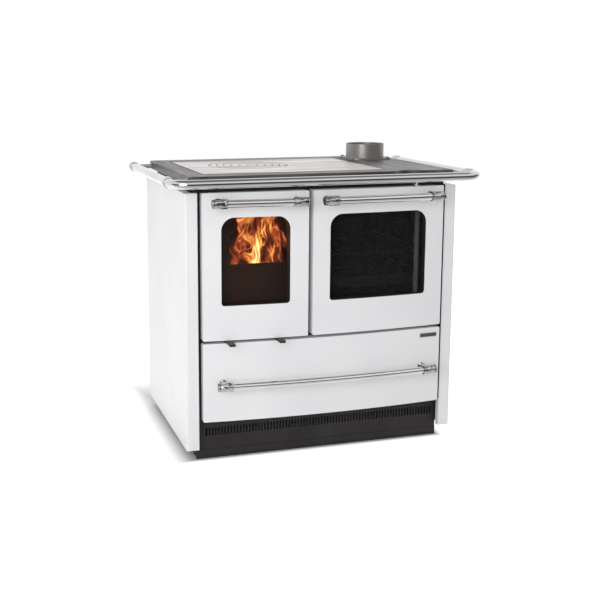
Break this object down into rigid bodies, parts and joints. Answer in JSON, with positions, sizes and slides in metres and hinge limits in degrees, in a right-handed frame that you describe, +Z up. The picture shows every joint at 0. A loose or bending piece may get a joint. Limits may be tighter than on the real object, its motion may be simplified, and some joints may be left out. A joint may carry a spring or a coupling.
{
  "type": "wood cookstove",
  "caption": "Freestanding wood cookstove with a fire door, an oven door and a wide drawer, lift-off hob rings, flue collar and a chrome rail around the hob.",
  "frame": {"origin": "centre of the overall box in plan, on the floor", "axes": "+X to the right seen from the front, +Y from the front to the back, +Z up"},
  "size_m": [0.9859, 0.678, 0.91],
  "materials": {
    "white_enamel": "glossy vitreous enamel on steel",
    "black_paint": "matt black heat-resistant paint",
    "zinc_sheet": "galvanised sheet",
    "cast_black": "raw cast iron",
    "hob_cast": "ground cast iron",
    "hob_polished": "ground and polished hob plate",
    "firebrick": "sooted refractory",
    "oven_enamel": "dark speckled oven enamel",
    "chrome": "polished chrome plate",
    "glass": "ceramic glass",
    "rope_seal": "graphited glass-fibre rope",
    "flue_grey": "grey heat-resistant paint",
    "badge_metal": "blank anodised plate"
  },
  "bodies": {
    "stove": {"base_front": "black_paint", "carcass_side_left": "black_paint", "carcass_side_right": "black_paint", "carcass_back": "zinc_sheet", "carcass_floor": "zinc_sheet", "drawer_ceiling": "zinc_sheet", "front_frame": "black_paint", "side_panel_left": "white_enamel", "side_panel_right": "white_enamel", "firebox_shell": "black_paint", "firebrick_left": "firebrick", "firebrick_right": "firebrick", "firebrick_back": "firebrick", "firebox_bed": "cast_black", "firebox_grate": "cast_black", "log_guard": "cast_black", "air_wash_duct": "black_paint", "ash_pan": "zinc_sheet", "air_port_plate": "zinc_sheet", "oven_box": "oven_enamel", "oven_guide_left": "chrome", "oven_guide_right": "chrome", "oven_rack": "chrome", "oven_tray": "oven_enamel", "damper_seat": "cast_black", "hob_frame": "hob_cast", "flue_collar": "flue_grey", "collar_bolts": "zinc_sheet", "front_rail": "chrome", "side_rails": "chrome", "rail_brackets": "chrome", "door_hinges": "black_paint", "drawer_slides": "zinc_sheet"},
    "hob_plate": {"hob_plate": "hob_polished"},
    "ring_outer": {"hob_ring_outer": "hob_polished"},
    "ring_large": {"hob_ring_large": "hob_polished"},
    "ring_medium": {"hob_ring_medium": "hob_polished"},
    "ring_small": {"hob_ring_small": "hob_polished"},
    "disc": {"hob_disc": "hob_polished"},
    "fire_door": {"fire_door_panel": "white_enamel", "fire_door_frame": "black_paint", "fire_door_glass": "glass", "fire_door_gasket": "rope_seal", "fire_door_handle_bar": "chrome", "fire_door_handle_ends": "chrome"},
    "oven_door": {"oven_door_panel": "white_enamel", "oven_door_frame": "black_paint", "oven_door_glass": "glass", "oven_door_gasket": "rope_seal", "oven_door_handle_bar": "chrome", "oven_door_handle_ends": "chrome"},
    "drawer": {"drawer_front": "white_enamel", "drawer_box": "zinc_sheet", "drawer_handle_bar": "chrome", "drawer_handle_ends": "chrome", "drawer_badge": "badge_metal"},
    "primary_air": {"primary_air_lever": "black_paint"},
    "secondary_air": {"secondary_air_lever": "black_paint"},
    "damper": {"damper_pull": "chrome", "damper_plate": "cast_black"}
  },
  "joints": [
    {"name": "hob_plate_lift", "type": "slide", "parent": "stove", "child": "hob_plate", "axis": [0, 0, 1], "range_m": [0, 0.05]},
    {"name": "ring_outer_lift", "type": "slide", "parent": "hob_plate", "child": "ring_outer", "axis": [0, 0, 1], "range_m": [0, 0.04]},
    {"name": "ring_large_lift", "type": "slide", "parent": "ring_outer", "child": "ring_large", "axis": [0, 0, 1], "range_m": [0, 0.04]},
    {"name": "ring_medium_lift", "type": "slide", "parent": "ring_large", "child": "ring_medium", "axis": [0, 0, 1], "range_m": [0, 0.04]},
    {"name": "ring_small_lift", "type": "slide", "parent": "ring_medium", "child": "ring_small", "axis": [0, 0, 1], "range_m": [0, 0.04]},
    {"name": "disc_lift", "type": "slide", "parent": "ring_small", "child": "disc", "axis": [0, 0, 1], "range_m": [0, 0.04]},
    {"name": "fire_door_hinge", "type": "hinge", "parent": "stove", "child": "fire_door", "pos_m": [-0.372, -0.24501, 0.59], "axis": [0, 0, -1], "range_deg": [0, 95]},
    {"name": "oven_door_hinge", "type": "hinge", "parent": "stove", "child": "oven_door", "pos_m": [0.372, -0.24501, 0.59], "axis": [0, 0, 1], "range_deg": [0, 95]},
    {"name": "drawer_slide", "type": "slide", "parent": "stove", "child": "drawer", "axis": [0, -1, 0], "range_m": [0, 0.4]},
    {"name": "primary_air_slide", "type": "slide", "parent": "stove", "child": "primary_air", "axis": [1, 0, 0], "range_m": [0, 0.04]},
    {"name": "secondary_air_slide", "type": "slide", "parent": "stove", "child": "secondary_air", "axis": [1, 0, 0], "range_m": [0, 0.04]},
    {"name": "damper_slide", "type": "slide", "parent": "stove", "child": "damper", "axis": [0, -1, 0], "range_m": [0, 0.06]}
  ]
}
